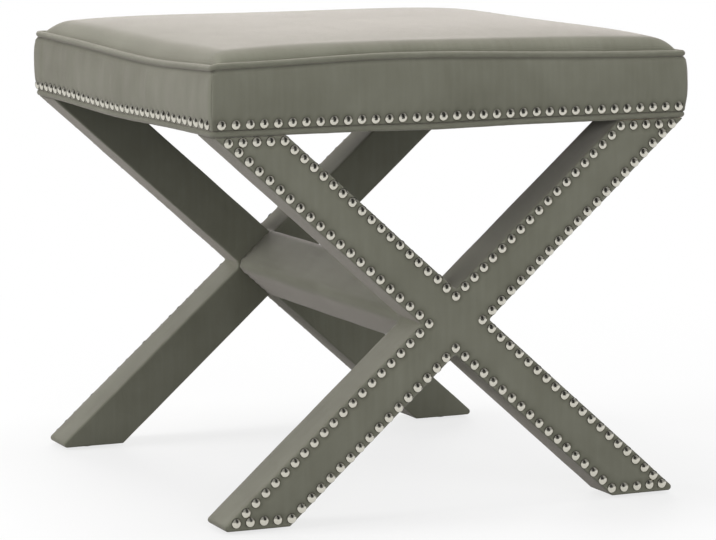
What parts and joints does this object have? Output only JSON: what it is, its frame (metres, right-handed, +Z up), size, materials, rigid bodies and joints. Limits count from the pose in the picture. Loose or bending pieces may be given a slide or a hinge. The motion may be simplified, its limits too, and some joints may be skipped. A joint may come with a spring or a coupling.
{
  "type": "upholstered footstool",
  "caption": "Square padded footstool with a piped box seat on fabric-covered X frames, joined by a stretcher and outlined with domed nails.",
  "frame": {"origin": "on the floor, under the middle of the seat", "axes": "+X to the right along the front, +Y from front to rear, +Z up"},
  "size_m": [0.5192, 0.5192, 0.4715],
  "materials": {
    "fabric": "soft woven pile",
    "nickel": "polished",
    "timber": "planed",
    "plywood": "sanded",
    "steel": "zinc plated",
    "nylon": "matte",
    "lining": "non-woven",
    "foam": "open cell",
    "fibre": "loose fibre"
  },
  "bodies": {
    "root": {"front_rising_leg": "timber", "front_falling_leg": "timber", "front_frame_wrap": "fabric", "front_frame_face": "fabric", "front_frame_nails": "nickel", "front_cross_bolt": "steel", "front_cross_washer": "steel", "front_barrel_nut": "steel", "front_dowel_1": "timber", "front_dowel_2": "timber", "front_leg_screw_1": "steel", "front_leg_screw_2": "steel", "front_leg_screw_3": "steel", "front_leg_screw_4": "steel", "front_glide_1": "nylon", "front_glide_2": "nylon", "rear_rising_leg": "timber", "rear_falling_leg": "timber", "rear_frame_wrap": "fabric", "rear_frame_face": "fabric", "rear_frame_nails": "nickel", "rear_cross_bolt": "steel", "rear_cross_washer": "steel", "rear_barrel_nut": "steel", "rear_dowel_1": "timber", "rear_dowel_2": "timber", "rear_leg_screw_1": "steel", "rear_leg_screw_2": "steel", "rear_leg_screw_3": "steel", "rear_leg_screw_4": "steel", "rear_glide_1": "nylon", "rear_glide_2": "nylon", "stretcher_core": "timber", "stretcher_cover": "fabric", "front_rail": "timber", "rear_rail": "timber", "left_rail": "timber", "right_rail": "timber", "dust_cover": "lining", "base_board": "plywood", "seat_deck": "plywood", "deck_screw_1": "steel", "deck_screw_2": "steel", "deck_screw_3": "steel", "deck_screw_4": "steel", "seat_foam": "foam", "seat_wadding": "fibre", "seat_top_panel": "fabric", "front_boxing": "fabric", "front_seat_nails": "nickel", "right_boxing": "fabric", "right_seat_nails": "nickel", "rear_boxing": "fabric", "rear_seat_nails": "nickel", "left_boxing": "fabric", "left_seat_nails": "nickel", "seat_piping": "fabric", "base_piping": "fabric"}
  },
  "joints": []
}
